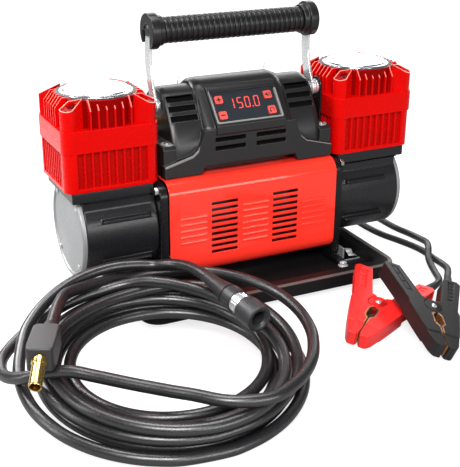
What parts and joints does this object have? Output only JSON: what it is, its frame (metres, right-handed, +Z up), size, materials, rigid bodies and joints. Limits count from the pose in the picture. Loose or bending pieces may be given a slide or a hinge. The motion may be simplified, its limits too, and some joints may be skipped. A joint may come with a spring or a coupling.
{
  "type": "twin stack compressor",
  "caption": "Portable air compressor: a motor between upright finned cylinders, on a steel tray, with a panel, a folding handle, battery leads and an air hose.",
  "frame": {"origin": "centre of the footprint, on the floor under the rubber feet", "axes": "+X along the crank shaft to the object's right, -Y out of the control panel, +Z up"},
  "size_m": [0.501, 0.5606, 0.269],
  "materials": {
    "tray_black": "satin powder coat",
    "foot_rubber": "matt",
    "zinc": "zinc plated",
    "plate_grey": "satin",
    "cover_red": "gloss",
    "head_red": "gloss",
    "can_dark": "satin",
    "magnet": "dull",
    "brush_board": "matt",
    "bearing_steel": "ground",
    "case_black": "satin",
    "cap_grey": "satin",
    "screw_steel": "plated",
    "sleeve_steel": "honed",
    "disc_chrome": "polished",
    "housing_black": "satin moulded",
    "window_black": "gloss",
    "board_green": "matt",
    "key_coral": "satin",
    "bright_steel": "polished",
    "brass": "turned",
    "gland_rubber": "matt",
    "grip_rubber": "matt ribbed",
    "cap_black": "satin",
    "shaft_steel": "ground",
    "winding_copper": "varnished laminations",
    "crank_iron": "machined",
    "rod_alloy": "cast",
    "piston_alloy": "machined",
    "lead_jacket": "satin",
    "clamp_red": "satin",
    "clamp_black": "satin",
    "hose_rubber": "satin",
    "fitting_black": "satin"
  },
  "bodies": {
    "machine": {"base_tray": "tray_black", "rubber_feet": "foot_rubber", "mount_brackets": "zinc", "base_bolts": "screw_steel", "side_plates": "plate_grey", "front_cover": "cover_red", "rear_cover": "cover_red", "motor_can": "can_dark", "magnets": "magnet", "brush_gear": "brush_board", "main_bearings": "bearing_steel", "left_crankcase": "case_black", "right_crankcase": "case_black", "end_caps": "cap_grey", "case_screws": "screw_steel", "left_cylinder": "head_red", "right_cylinder": "head_red", "cylinder_sleeves": "sleeve_steel", "valve_plates": "sleeve_steel", "left_head": "head_red", "right_head": "head_red", "head_discs": "disc_chrome", "head_screws": "screw_steel", "control_housing": "housing_black", "display_window": "window_black", "display_board": "board_green", "handle_pivots": "bright_steel", "air_manifold": "brass", "outlet_coupler": "brass", "cable_gland": "gland_rubber", "red_lead_start": "lead_jacket", "red_lead_coil": "lead_jacket", "red_lead_end": "lead_jacket", "black_lead_start": "lead_jacket", "black_lead_coil": "lead_jacket", "black_lead_end": "lead_jacket", "red_clamp_fixed": "clamp_red", "black_clamp_fixed": "clamp_black", "clamp_pivots": "screw_steel", "hose_coil": "hose_rubber", "hose_start": "hose_rubber", "hose_end": "hose_rubber", "hose_connector": "fitting_black", "tyre_chuck": "fitting_black"},
    "handle": {"handle_arms": "bright_steel", "handle_grip": "grip_rubber", "grip_caps": "cap_black"},
    "rotor": {"motor_shaft": "shaft_steel", "armature": "winding_copper", "cranks": "crank_iron"},
    "left_rod": {"left_rod": "rod_alloy"},
    "right_rod": {"right_rod": "rod_alloy"},
    "left_piston": {"left_piston": "piston_alloy"},
    "right_piston": {"right_piston": "piston_alloy"},
    "red_jaw": {"red_clamp_jaw": "clamp_red"},
    "black_jaw": {"black_clamp_jaw": "clamp_black"},
    "plus_key": {"plus_key": "key_coral"},
    "minus_key": {"minus_key": "key_coral"},
    "light_key": {"light_key": "key_coral"},
    "reset_key": {"reset_key": "key_coral"}
  },
  "joints": [
    {"name": "rotor_spin", "type": "hinge", "parent": "machine", "child": "rotor", "pos_m": [0, 0, 0.0715], "axis": [1, 0, 0], "continuous": true},
    {"name": "left_rod_turn", "type": "hinge", "parent": "rotor", "child": "left_rod", "pos_m": [-0.141, 0, 0.0655], "axis": [1, 0, 0], "continuous": true},
    {"name": "right_rod_turn", "type": "hinge", "parent": "rotor", "child": "right_rod", "pos_m": [0.141, 0, 0.0655], "axis": [1, 0, 0], "continuous": true},
    {"name": "left_piston_stroke", "type": "slide", "parent": "machine", "child": "left_piston", "axis": [0, 0, 1], "range_m": [0, 0.012]},
    {"name": "right_piston_stroke", "type": "slide", "parent": "machine", "child": "right_piston", "axis": [0, 0, 1], "range_m": [0, 0.012]},
    {"name": "handle_fold", "type": "hinge", "parent": "machine", "child": "handle", "pos_m": [0, -0.005, 0.184], "axis": [-1, 0, 0], "range_deg": [0, 90]},
    {"name": "plus_press", "type": "slide", "parent": "machine", "child": "plus_key", "axis": [0, 0.7627, -0.6468], "range_m": [0, 0.0006], "stiffness_N_per_m": 900, "springref_m": -0.0004},
    {"name": "minus_press", "type": "slide", "parent": "machine", "child": "minus_key", "axis": [0, 0.7627, -0.6468], "range_m": [0, 0.0006], "stiffness_N_per_m": 900, "springref_m": -0.0004},
    {"name": "light_press", "type": "slide", "parent": "machine", "child": "light_key", "axis": [0, 0.7627, -0.6468], "range_m": [0, 0.0006], "stiffness_N_per_m": 900, "springref_m": -0.0004},
    {"name": "reset_press", "type": "slide", "parent": "machine", "child": "reset_key", "axis": [0, 0.7627, -0.6468], "range_m": [0, 0.0006], "stiffness_N_per_m": 900, "springref_m": -0.0004},
    {"name": "red_clamp_squeeze", "type": "hinge", "parent": "machine", "child": "red_jaw", "pos_m": [0.06553, -0.17432, 0.01308], "axis": [-0.0476, 0.1628, -0.9855], "range_deg": [0, 20], "stiffness_Nm_per_rad": 1, "springref_deg": -28.65},
    {"name": "black_clamp_squeeze", "type": "hinge", "parent": "machine", "child": "black_jaw", "pos_m": [0.0981, -0.21186, 0.01959], "axis": [-0.2527, 0.2734, -0.9281], "range_deg": [0, 20], "stiffness_Nm_per_rad": 1, "springref_deg": -28.65}
  ],
  "couplings": [
    {"joint": "left_rod_turn", "follows": "rotor_spin", "ratio": -1},
    {"joint": "right_rod_turn", "follows": "rotor_spin", "ratio": -1}
  ]
}
